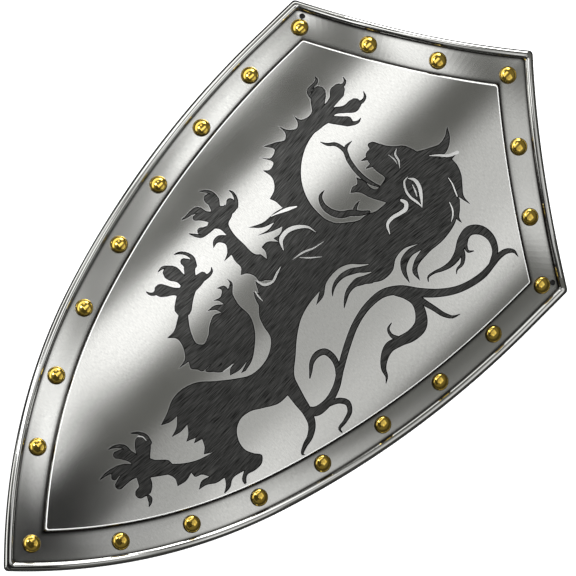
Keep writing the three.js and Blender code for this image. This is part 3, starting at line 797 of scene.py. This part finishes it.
def steel_finish(name, light, dark, smooth, rough, finest, drawn_out, bump, uv="plan", metal=1.0):
    """A finish whose grain runs between two greys and two roughnesses, on one of the sheet's maps."""
    material, tree = new_material(name)
    lay = node(tree, "UVMap", uv_map=uv)
    marks = node(
        tree, "Group", {"Vector": lay.outputs["UV"], "Finest": finest, "Drawn Out": drawn_out},
        node_tree=grinding,
    )
    tone = node(
        tree, "Mix", {"Factor": marks.outputs["Streak"], "A": (*dark, 1), "B": (*light, 1)}, data_type="RGBA",
    )
    # Painted shade is laid over the grain wherever the sheet carries it.
    shade_painted_here = node(tree, "Attribute", attribute_name="painted_shade")
    shaded_tone = node(
        tree, "Group", {"Color": tone.outputs["Result"], "Painted Shade": shade_painted_here.outputs["Fac"]},
        node_tree=crease_shade_group,
    )
    gloss = node(tree, "MapRange", {"Value": marks.outputs["Streak"], "To Min": rough, "To Max": smooth})
    worn = node(
        tree, "MapRange",
        {"Value": marks.outputs["Patch"], "From Min": 0.3, "From Max": 0.7, "To Min": -0.02, "To Max": 0.02},
    )
    both = node(tree, "Math", {0: gloss.outputs[0], 1: worn.outputs[0]}, operation="ADD")
    relief = node(tree, "Bump", {"Strength": bump, "Distance": 0.1 * MM, "Height": marks.outputs["Streak"]})
    feed(tree.nodes["Principled BSDF"], {
        "Base Color": shaded_tone.outputs["Color"], "Metallic": metal, "Roughness": both.outputs[0],
        "Normal": relief.outputs["Normal"],
    })
    return material


# Each: the light and dark grey, the smoothest and roughest, how fine and how drawn out the grain is, and its
# relief. They stand in the order of the numbers that the section gives its bands.
sheet_finishes = [
    steel_finish("face_satin", (0.84, 0.84, 0.815), (0.72, 0.72, 0.70), 0.15, 0.19, 2400, 0.16, 0.03),
    steel_finish("border_buffed", (0.83, 0.83, 0.805), (0.73, 0.73, 0.71), 0.2, 0.23, 2400, 0.16, 0.02),
    steel_finish("bead_polished", (0.86, 0.86, 0.84), (0.82, 0.82, 0.80), 0.06, 0.07, 1500, 0.5, 0.004),
    steel_finish("back_mill", (0.52, 0.52, 0.51), (0.40, 0.40, 0.40), 0.34, 0.46, 900, 0.06, 0.1),
    steel_finish("etching_line", (0.02, 0.02, 0.02), (0.008, 0.008, 0.008), 0.5, 0.6, 900, 0.3, 0.05),
    steel_finish(
        "etching_fur", (0.185, 0.185, 0.181), (0.008, 0.008, 0.008), 0.38, 0.5, 3400, 0.024, 0.25, uv="fur",
    ),
    # A thin line round the etching is painted paler than the face.
    steel_finish("etching_pale_line", (0.9, 0.9, 0.89), (0.84, 0.84, 0.83), 0.2, 0.26, 2600, 0.3, 0.03),
    steel_finish(
        "slit_scraped", (0.95, 0.95, 0.94), (0.9, 0.9, 0.89), 0.2, 0.26, 2600, 0.3, 0.03, metal=0.85,
    ),
    # The step's edge is painted pale: a painted highlight that stays bright from every side.
    steel_finish(
        "step_edge_painted_highlight", (0.97, 0.97, 0.96), (0.92, 0.92, 0.91), 0.4, 0.45, 2600, 0.3, 0.03, metal=0.4,
    ),
]

# ---- Rolling the edge and pressing the border ----
# The band round the face is drawn out ring by ring: down the step, across the dished border, round the
# bead, and back behind the face. It starts from a plain ring of wire bent to the outline of the face.
rings = [
    [Vector((point.x, point.y, height)) for point in outline(inset, rounding)]
    for inset, height, rounding, _, _ in section
]
bpy.ops.object.select_all(action="DESELECT")
bpy.ops.mesh.primitive_circle_add(vertices=len(rings[0]), radius=HALF_WIDTH)
sheet = bpy.context.object
sheet.name = "shield_sheet"
for finish in sheet_finishes:
    sheet.data.materials.append(finish)
bpy.ops.object.mode_set(mode="EDIT")
bpy.ops.mesh.select_mode(type="EDGE")
band = bmesh.from_edit_mesh(sheet.data)
band.verts.layers.float.new("painted_shade")
for vertex, place in zip(band.verts, rings[0]):
    vertex.co = place
bpy.ops.mesh.select_all(action="SELECT")
for before, after, (_, _, _, finish, painted_shade_level) in zip(rings, rings[1:], section[1:]):
    bpy.ops.mesh.extrude_region_move()
    band = bmesh.from_edit_mesh(sheet.data)
    painted_shade = band.verts.layers.float["painted_shade"]
    goes_to = {tuple(round(value, 3) for value in old): new for old, new in zip(before, after)}
    for vertex in band.verts:
        if vertex.select:
            vertex.co = goes_to[tuple(round(value, 3) for value in vertex.co)]
            vertex[painted_shade] = painted_shade_level
            for face in vertex.link_faces:
                face.material_index = finish
bpy.ops.object.mode_set(mode="OBJECT")


# ---- The face, with the etching in it ----
# The face is a plain sheet within the step. Its etched part is bitten down a third of a millimetre with
# upright walls, and the back of the face is plain.
def choose(active, *others):
    """Only these objects are selected, and the first of them is the active one."""
    bpy.ops.object.select_all(action="DESELECT")
    for chosen in (active, *others):
        chosen.select_set(True)
    bpy.context.view_layer.objects.active = active


def inside(points, loop):
    """Which points an anticlockwise loop goes round."""
    low, high = loop.min(0), loop.max(0)
    near = ((points >= low) & (points <= high)).all(1).nonzero()[0]
    x, y = points[near, 0][:, None], points[near, 1][:, None]
    ax, ay = loop[:, 0], loop[:, 1]
    bx, by = np.roll(ax, -1), np.roll(ay, -1)
    side = (bx - ax) * (y - ay) - (x - ax) * (by - ay)
    turns = ((ay <= y) & (by > y) & (side > 0)).sum(1) - ((by <= y) & (ay > y) & (side < 0)).sum(1)
    result = np.zeros(len(points), bool)
    result[near[turns > 0]] = True
    return result


CLEAR_OF_EDGE = 0.4  # parts of their spacing that the inner points keep from the edge
SAME_PLACE = 0.004  # points nearer than this are taken for one


def filled(name, edge, spacing, loops=()):
    """A flat object of triangles that fills an edge, with every loop's line kept among them."""
    border = np.array([point[:2] for point in edge])
    wide = np.arange(-HALF_WIDTH, HALF_WIDTH, spacing)
    tall = np.arange(0, PEAK_Y, spacing)
    dots = np.array([(x + spacing / 2 * (i % 2), y) for i, y in enumerate(tall) for x in wide])
    dots = dots[inside(dots, grown(border, -spacing * CLEAR_OF_EDGE))]
    points, lines = [*border], [(i, (i + 1) % len(border)) for i in range(len(border))]
    for loop in loops:
        start = len(points)
        points.extend(loop)
        lines.extend((start + i, start + (i + 1) % len(loop)) for i in range(len(loop)))
    points.extend(dots)
    places, _, triangles, *_ = delaunay_2d_cdt([Vector(point) for point in points], lines, [], 0, SAME_PLACE)
    flat = np.array([tuple(place) for place in places])
    middles = flat[np.array(triangles)].mean(1)
    kept = inside(middles, border)
    triangles = [triangle for triangle, keep in zip(triangles, kept) if keep]
    data = bpy.data.meshes.new(name)
    data.from_pydata([(x, y, edge[0].z) for x, y in flat], [], triangles)
    made = bpy.data.objects.new(name, data)
    for finish in sheet_finishes:
        data.materials.append(finish)
    bpy.context.collection.objects.link(made)
    return made, middles[kept]


# A stroke's tip that would cross the step is cut short of it.
SHORT_OF_STEP = 0.6
FACE_SPACING, BACK_SPACING = 8, 14  # between the inner points of the face and of its back
short_of_step = grown(np.array([point[:2] for point in rings[0]]), -SHORT_OF_STEP)
etching = [
    (kind, *(None if loop is None else loop[inside(loop, short_of_step)] for loop in loops))
    for kind, *loops in etching
]
every_loop = [loop for _, *loops in etching for loop in loops if loop is not None]
face, middles = filled("face", rings[0], FACE_SPACING, every_loop)
finishes = np.full(len(middles), FIELD)
for kind, loop, wider, narrower in etching:
    within, about = inside(middles, loop), inside(middles, wider)
    if kind == "ink":
        finishes[about & (finishes == FIELD)] = ETCH_PALE_LINE
        finishes[within & (finishes != ETCH_FUR)] = ETCH_LINE
        if narrower is not None:
            finishes[inside(middles, narrower)] = ETCH_FUR
    else:
        finishes[about & (finishes == ETCH_FUR)] = ETCH_LINE
        finishes[within] = SLIT if kind == "scraped" else FIELD
face.data.polygons.foreach_set("material_index", finishes.astype(np.int32))

# The fur is cut along the sheet in long strokes that sway a little: u goes along them and v across them.
SWAY = 6
fur = face.data.uv_layers.new(name="fur")
plan_of_vertex = np.array([vertex.co[:2] for vertex in face.data.vertices])
x, y = plan_of_vertex[[loop.vertex_index for loop in face.data.loops]].T
across = x + SWAY * np.sin(y / 60 + x / 45)
fur.data.foreach_set("uv", (np.stack([y, across], 1) * MM).ravel())

choose(face)
bpy.ops.object.mode_set(mode="EDIT")
bpy.ops.mesh.select_mode(type="FACE")
bpy.ops.mesh.select_all(action="DESELECT")
plate = bmesh.from_edit_mesh(face.data)
plate.faces.ensure_lookup_table()
for polygon in plate.faces:
    polygon.select_set(polygon.material_index in (ETCH_LINE, ETCH_FUR))
bmesh.update_edit_mesh(face.data)
bpy.ops.mesh.extrude_region_move(TRANSFORM_OT_translate={"value": (0, 0, -ETCH_DEPTH)})
plate = bmesh.from_edit_mesh(face.data)
for polygon in plate.faces:
    heights = [vertex.co.z for vertex in polygon.verts]
    if max(heights) - min(heights) > ETCH_DEPTH / 2:
        polygon.material_index = ETCH_LINE
bpy.ops.object.mode_set(mode="OBJECT")

back, _ = filled("back", rings[-1], BACK_SPACING)
back.data.polygons.foreach_set("material_index", np.full(len(back.data.polygons), BACK, np.int32))

choose(sheet, face, back)
bpy.ops.object.join()
bpy.ops.object.mode_set(mode="EDIT")
bpy.ops.mesh.select_all(action="SELECT")
bpy.ops.mesh.remove_doubles(threshold=0.002)
bpy.ops.mesh.delete_loose()
bpy.ops.mesh.select_all(action="SELECT")
bpy.ops.mesh.normals_make_consistent(inside=False)
bpy.ops.object.mode_set(mode="OBJECT")


# ---- Drilling ----
# Twenty-two holes for the rivets' shanks, and one at each corner that the shield hangs by.
SHANK_HOLE_RADIUS = 2.7
HANGING_HOLE = (171.2, 570)
DRILL_LENGTH = 12
HOLE_CARD_RADIUS = 5  # of the small black card behind each hanging hole
to_the_sheet = on_the_floor.inverted()
rivet_places = {}
for name, cad_piece in frame["nodes"].items():
    if name.startswith("rivet_"):
        places = [vertex.co for vertex in cad_piece.data.vertices]
        rivet_places[name] = to_the_sheet @ (sum(places, Vector()) / len(places))
# A rivet's middle lies a little above or below the sheet, where the bend has moved it sideways.
lift = rivet_places["rivet_tip"].z
rivet_places = {name: (place.x / (1 + lift / BEND_RADIUS), place.y) for name, place in rivet_places.items()}

bpy.ops.object.select_all(action="DESELECT")
hanging_holes = [HANGING_HOLE, (-HANGING_HOLE[0], HANGING_HOLE[1])]
for x, y in [*rivet_places.values(), *hanging_holes]:
    bpy.ops.mesh.primitive_cylinder_add(
        vertices=32, radius=SHANK_HOLE_RADIUS, depth=DRILL_LENGTH, location=(x, y, 0),
    )
drills = [made for made in bpy.context.collection.objects if made.name.startswith("Cylinder")]
choose(*drills)
bpy.ops.object.join()
drill = bpy.context.object
cut = sheet.modifiers.new("holes", "BOOLEAN")
cut.operation = "DIFFERENCE"
cut.solver = "MANIFOLD"
cut.object = drill
choose(sheet)
bpy.ops.object.modifier_apply(modifier=cut.name)
bpy.data.objects.remove(drill)

# A small black card is held behind each hanging hole, standing in for the shade under the shield, so that the
# holes look dark.
for side, (x, y) in zip(("right", "left"), hanging_holes):
    bpy.ops.mesh.primitive_circle_add(vertices=32, radius=HOLE_CARD_RADIUS, fill_type="NGON")
    patch = bpy.context.object
    patch.name = "hole_shade_card_" + side
    behind = Matrix.Translation(bent(x, y, -2 * SHEET)) @ Matrix.Rotation(math.asin(x / BEND_RADIUS), 4, "Y")
    patch.matrix_world = on_the_floor @ behind
    patch.data.materials.append(velvet)

# ---- Rolling the sheet to its curve ----
# The plate goes through the rolls along its long axis. Its plan is kept as a map first, so that grain and
# scratches follow the sheet.
plan = sheet.data.uv_layers.new(name="plan")
where = np.array([tuple(v.co) for v in sheet.data.vertices])
of_corner = np.zeros(len(sheet.data.loops), np.int32)
sheet.data.loops.foreach_get("vertex_index", of_corner)
plan.data.foreach_set("uv", (where[of_corner, :2] * MM).ravel())

turn = np.arcsin(where[:, 0] / BEND_RADIUS)
rolled = np.stack([
    where[:, 0] + where[:, 2] * np.sin(turn), where[:, 1],
    BEND_RADIUS * (np.cos(turn) - 1) + where[:, 2] * np.cos(turn),
], 1)
lie = np.array(on_the_floor)
rolled = rolled @ lie[:3, :3].T + lie[:3, 3]
rolled[:, 2] = np.maximum(rolled[:, 2], 0)  # the small flats that the shield rests on
sheet.data.vertices.foreach_set("co", rolled.ravel())
bpy.ops.object.shade_smooth_by_angle(angle=math.radians(32))
sheet.data.update()

# On the face and in the etching the light must run unbroken, so there the normals are the roll's own.
count = len(sheet.data.loops)
normals = np.zeros(count * 3, np.float32)
sheet.data.corner_normals.foreach_get("vector", normals)
normals = normals.reshape(-1, 3)
polygon_finish = np.zeros(len(sheet.data.polygons), np.int32)
sheet.data.polygons.foreach_get("material_index", polygon_finish)
polygon_size = np.zeros(len(sheet.data.polygons), np.int32)
sheet.data.polygons.foreach_get("loop_total", polygon_size)
finish_of_corner = np.repeat(polygon_finish, polygon_size)
outwards = np.stack([np.sin(turn), np.zeros(len(turn)), np.cos(turn)], 1) @ (lie[:3, :3].T / MM)
smooth_normal = outwards[of_corner]
NEARLY_LEVEL = 0.985  # cosine of ten degrees
level = np.abs((normals * smooth_normal).sum(1)) > NEARLY_LEVEL
on_face = np.isin(finish_of_corner, (FIELD, ETCH_PALE_LINE, SLIT, ETCH_LINE, ETCH_FUR))
on_face &= level & (where[of_corner, 2] > STEP_HEIGHT - ETCH_DEPTH - 0.01)
normals[on_face] = smooth_normal[on_face]
sheet.data.normals_split_custom_set([tuple(normal) for normal in normals])
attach(sheet, "root")
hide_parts("shield_plate")

# ---- The rivets ----
# Twenty-two solid brass rivets with round polished heads. Each is turned from rod, put through the border
# from the front, and spread behind the sheet into a low tail.
HEAD_RADIUS = 8.4
HEAD_HEIGHT = 5.2
SHANK_RADIUS = 2.4
TAIL_RADIUS = 4.4
TAIL_HEIGHT = 2.2
CLEARANCE = 0.3  # air between a rivet and the sheet
SEAT = CLEARANCE - COVE * 0.35  # the head's underside, above the plan
TAIL_TOP = -COVE - SHEET - CLEARANCE - SEAT  # from the head's underside

bpy.ops.object.select_all(action="DESELECT")
bpy.ops.mesh.primitive_uv_sphere_add(segments=48, ring_count=28, radius=HEAD_RADIUS)
rivet = bpy.context.object
bpy.ops.object.mode_set(mode="EDIT")
bpy.ops.mesh.select_mode(type="EDGE")
bpy.ops.mesh.select_all(action="SELECT")
bpy.ops.mesh.bisect(plane_co=(0, 0, 0.001), plane_no=(0, 0, 1), clear_inner=True, use_fill=False)
bpy.ops.mesh.select_all(action="SELECT")
bpy.ops.transform.resize(value=(1, 1, HEAD_HEIGHT / HEAD_RADIUS), center_override=(0, 0, 0))
bpy.ops.mesh.select_all(action="DESELECT")
turned = bmesh.from_edit_mesh(rivet.data)
for edge in turned.edges:
    edge.select_set(edge.is_boundary)
bmesh.update_edit_mesh(rivet.data)
# The head's underside, the shank, and the spread tail with its rounded end.
for radius, height in (
    (HEAD_RADIUS - 0.25, 0), (SHANK_RADIUS, 0), (SHANK_RADIUS, TAIL_TOP), (TAIL_RADIUS * 0.97, TAIL_TOP),
    (TAIL_RADIUS, TAIL_TOP - 0.25), (TAIL_RADIUS * 0.93, TAIL_TOP - 0.9),
    (TAIL_RADIUS * 0.7, TAIL_TOP - 1.65), (TAIL_RADIUS * 0.36, TAIL_TOP - 2.08),
    (0.5, TAIL_TOP - TAIL_HEIGHT),
):
    bpy.ops.mesh.extrude_region_move()
    turned = bmesh.from_edit_mesh(rivet.data)
    for vertex in turned.verts:
        if vertex.select:
            flat = Vector((vertex.co.x, vertex.co.y, 0)).normalized() * radius
            vertex.co = Vector((flat.x, flat.y, height))
    bmesh.update_edit_mesh(rivet.data)
bpy.ops.mesh.edge_face_add()
bpy.ops.mesh.select_all(action="SELECT")
bpy.ops.mesh.remove_doubles(threshold=0.01)
bpy.ops.mesh.normals_make_consistent(inside=False)
bpy.ops.object.mode_set(mode="OBJECT")
bpy.ops.object.shade_smooth_by_angle(angle=math.radians(40))
# Painted shade darkens the foot of the dome, where it meets the sheet, and the tail behind the sheet.
SHADE_TOP_ON_DOME = 2.5
dome_foot_shade = rivet.data.attributes.new("painted_shade", "FLOAT", "POINT")
for vertex, value in zip(rivet.data.vertices, dome_foot_shade.data):
    value.value = min(1, max(0, SHADE_TOP_ON_DOME - vertex.co.z)) if vertex.co.z > -0.5 else 0.5

brass, tree = new_material("rivet_brass")
place = node(tree, "TexCoord")
clouds = node(tree, "TexNoise", {"Vector": place.outputs["Object"], "Scale": 260.0, "Detail": 4.0})
tone = node(
    tree, "Mix", {"Factor": clouds.outputs["Fac"], "A": (1.0, 0.6, 0.06, 1), "B": (1.0, 0.8, 0.22, 1)},
    data_type="RGBA",
)
# Painted shade darkens the foot of each dome.
shade_painted_here = node(tree, "Attribute", attribute_name="painted_shade")
shaded_tone = node(
    tree, "Group", {"Color": tone.outputs["Result"], "Painted Shade": shade_painted_here.outputs["Fac"], "Amount": 0.8},
    node_tree=crease_shade_group,
)
gloss = node(tree, "MapRange", {"Value": clouds.outputs["Fac"], "To Min": 0.03, "To Max": 0.09})
relief = node(tree, "Bump", {"Strength": 0.1, "Distance": 0.2 * MM, "Height": clouds.outputs["Fac"]})
feed(tree.nodes["Principled BSDF"], {
    "Base Color": shaded_tone.outputs["Color"], "Metallic": 0.975, "Roughness": gloss.outputs[0],
    "Normal": relief.outputs["Normal"],
})
rivet.data.materials.append(brass)

EACH_TURNED = 1.7  # radians, so that no two neighbours show the same marks
for number, (name, (x, y)) in enumerate(rivet_places.items()):
    one = bpy.data.objects.new(name.replace("rivet", "brass_rivet"), rivet.data.copy())
    bpy.context.collection.objects.link(one)
    upright = Matrix.Translation(bent(x, y, SEAT)) @ Matrix.Rotation(math.asin(x / BEND_RADIUS), 4, "Y")
    one.data.transform(on_the_floor @ upright @ Matrix.Rotation(number * EACH_TURNED, 4, "Z"))
    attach(one, "root")
    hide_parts(name)
bpy.data.objects.remove(rivet)
